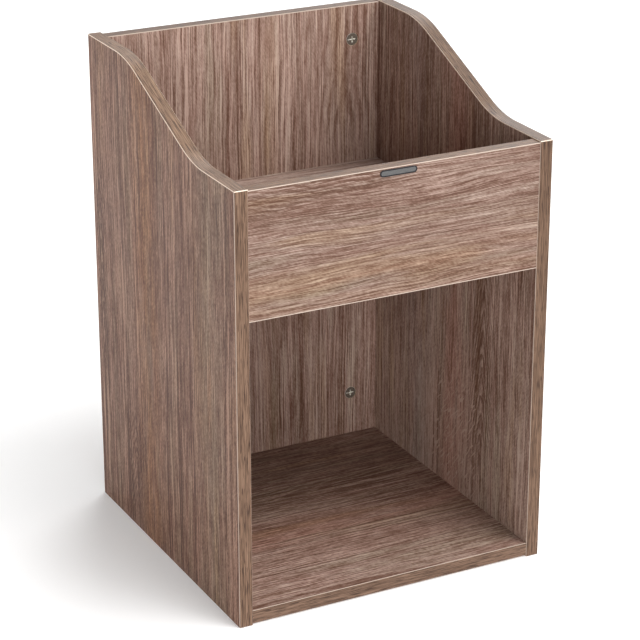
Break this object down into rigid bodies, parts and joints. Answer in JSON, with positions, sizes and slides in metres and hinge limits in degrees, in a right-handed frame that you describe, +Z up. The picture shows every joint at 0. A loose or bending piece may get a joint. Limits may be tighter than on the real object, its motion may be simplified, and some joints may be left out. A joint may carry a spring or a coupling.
{
  "type": "open browser bin",
  "caption": "Floor-standing open bin with S-curved sides, over an open cubby. Boards held by cam locks, for books or records.",
  "frame": {"origin": "on the floor, under the middle of the object", "axes": "+Z up, -Y towards the open front, +X to the right as seen from the front"},
  "size_m": [0.365, 0.3657, 0.55],
  "materials": {
    "board_upright_grain": "melamine-faced chipboard, grey-brown oak print with upright grain, satin",
    "board_level_grain": "melamine-faced chipboard, grey-brown oak print with level grain, satin",
    "edge_band": "wood-printed edge strip, satin",
    "cam_zinc": "die-cast zinc, nickel plated",
    "bolt_steel": "zinc-plated steel",
    "dowel_wood": "plain beech",
    "plate_metal": "dark brushed metal with a bright rim, blank"
  },
  "bodies": {
    "carcass": {"back_panel": "board_upright_grain", "back_panel_bolts": "bolt_steel", "back_panel_dowels": "dowel_wood", "back_panel_top_band": "edge_band", "bin_floor": "board_level_grain", "bin_floor_bolts": "bolt_steel", "bin_floor_dowels": "dowel_wood", "bottom_shelf": "board_level_grain", "bottom_shelf_bolts": "bolt_steel", "bottom_shelf_dowels": "dowel_wood", "bottom_shelf_front_band": "edge_band", "front_board": "board_level_grain", "front_board_bolts": "bolt_steel", "front_board_bottom_band": "edge_band", "front_board_dowels": "dowel_wood", "front_board_top_band": "edge_band", "left_side_front_band": "edge_band", "left_side_panel": "board_upright_grain", "left_side_rear_band": "edge_band", "left_side_top_band": "edge_band", "name_plate": "plate_metal", "right_side_front_band": "edge_band", "right_side_panel": "board_upright_grain", "right_side_rear_band": "edge_band", "right_side_top_band": "edge_band"},
    "back_panel_cam_nut_lower_left": {"back_panel_cam_nut_lower_left": "cam_zinc"},
    "back_panel_cam_nut_lower_right": {"back_panel_cam_nut_lower_right": "cam_zinc"},
    "back_panel_cam_nut_upper_left": {"back_panel_cam_nut_upper_left": "cam_zinc"},
    "back_panel_cam_nut_upper_right": {"back_panel_cam_nut_upper_right": "cam_zinc"},
    "bin_floor_cam_nut_front_left": {"bin_floor_cam_nut_front_left": "cam_zinc"},
    "bin_floor_cam_nut_front_right": {"bin_floor_cam_nut_front_right": "cam_zinc"},
    "bin_floor_cam_nut_rear_left": {"bin_floor_cam_nut_rear_left": "cam_zinc"},
    "bin_floor_cam_nut_rear_right": {"bin_floor_cam_nut_rear_right": "cam_zinc"},
    "bottom_shelf_cam_nut_front_left": {"bottom_shelf_cam_nut_front_left": "cam_zinc"},
    "bottom_shelf_cam_nut_front_right": {"bottom_shelf_cam_nut_front_right": "cam_zinc"},
    "bottom_shelf_cam_nut_rear_left": {"bottom_shelf_cam_nut_rear_left": "cam_zinc"},
    "bottom_shelf_cam_nut_rear_right": {"bottom_shelf_cam_nut_rear_right": "cam_zinc"},
    "front_board_cam_nut_left": {"front_board_cam_nut_left": "cam_zinc"},
    "front_board_cam_nut_right": {"front_board_cam_nut_right": "cam_zinc"}
  },
  "joints": [
    {"name": "back_panel_cam_lower_left_turn", "type": "hinge", "parent": "carcass", "child": "back_panel_cam_nut_lower_left", "pos_m": [-0.1335, 0.174, 0.069], "axis": [0, -1, 0], "range_deg": [0, 180]},
    {"name": "back_panel_cam_lower_right_turn", "type": "hinge", "parent": "carcass", "child": "back_panel_cam_nut_lower_right", "pos_m": [0.1335, 0.174, 0.069], "axis": [0, -1, 0], "range_deg": [0, 180]},
    {"name": "back_panel_cam_upper_left_turn", "type": "hinge", "parent": "carcass", "child": "back_panel_cam_nut_upper_left", "pos_m": [-0.1335, 0.174, 0.508], "axis": [0, -1, 0], "range_deg": [0, 180]},
    {"name": "back_panel_cam_upper_right_turn", "type": "hinge", "parent": "carcass", "child": "back_panel_cam_nut_upper_right", "pos_m": [0.1335, 0.174, 0.508], "axis": [0, -1, 0], "range_deg": [0, 180]},
    {"name": "bin_floor_cam_front_left_turn", "type": "hinge", "parent": "carcass", "child": "bin_floor_cam_nut_front_left", "pos_m": [-0.1335, -0.117, 0.3545], "axis": [0, 0, -1], "range_deg": [0, 180]},
    {"name": "bin_floor_cam_front_right_turn", "type": "hinge", "parent": "carcass", "child": "bin_floor_cam_nut_front_right", "pos_m": [0.1335, -0.117, 0.3545], "axis": [0, 0, -1], "range_deg": [0, 180]},
    {"name": "bin_floor_cam_rear_left_turn", "type": "hinge", "parent": "carcass", "child": "bin_floor_cam_nut_rear_left", "pos_m": [-0.1335, 0.1165, 0.3545], "axis": [0, 0, -1], "range_deg": [0, 180]},
    {"name": "bin_floor_cam_rear_right_turn", "type": "hinge", "parent": "carcass", "child": "bin_floor_cam_nut_rear_right", "pos_m": [0.1335, 0.1165, 0.3545], "axis": [0, 0, -1], "range_deg": [0, 180]},
    {"name": "bottom_shelf_cam_front_left_turn", "type": "hinge", "parent": "carcass", "child": "bottom_shelf_cam_nut_front_left", "pos_m": [-0.1335, -0.131, 0.009], "axis": [0, 0, -1], "range_deg": [0, 180]},
    {"name": "bottom_shelf_cam_front_right_turn", "type": "hinge", "parent": "carcass", "child": "bottom_shelf_cam_nut_front_right", "pos_m": [0.1335, -0.131, 0.009], "axis": [0, 0, -1], "range_deg": [0, 180]},
    {"name": "bottom_shelf_cam_rear_left_turn", "type": "hinge", "parent": "carcass", "child": "bottom_shelf_cam_nut_rear_left", "pos_m": [-0.1335, 0.1165, 0.009], "axis": [0, 0, -1], "range_deg": [0, 180]},
    {"name": "bottom_shelf_cam_rear_right_turn", "type": "hinge", "parent": "carcass", "child": "bottom_shelf_cam_nut_rear_right", "pos_m": [0.1335, 0.1165, 0.009], "axis": [0, 0, -1], "range_deg": [0, 180]},
    {"name": "front_board_cam_left_turn", "type": "hinge", "parent": "carcass", "child": "front_board_cam_nut_left", "pos_m": [-0.1335, -0.1745, 0.40925], "axis": [0, 1, 0], "range_deg": [0, 180]},
    {"name": "front_board_cam_right_turn", "type": "hinge", "parent": "carcass", "child": "front_board_cam_nut_right", "pos_m": [0.1335, -0.1745, 0.40925], "axis": [0, 1, 0], "range_deg": [0, 180]}
  ]
}
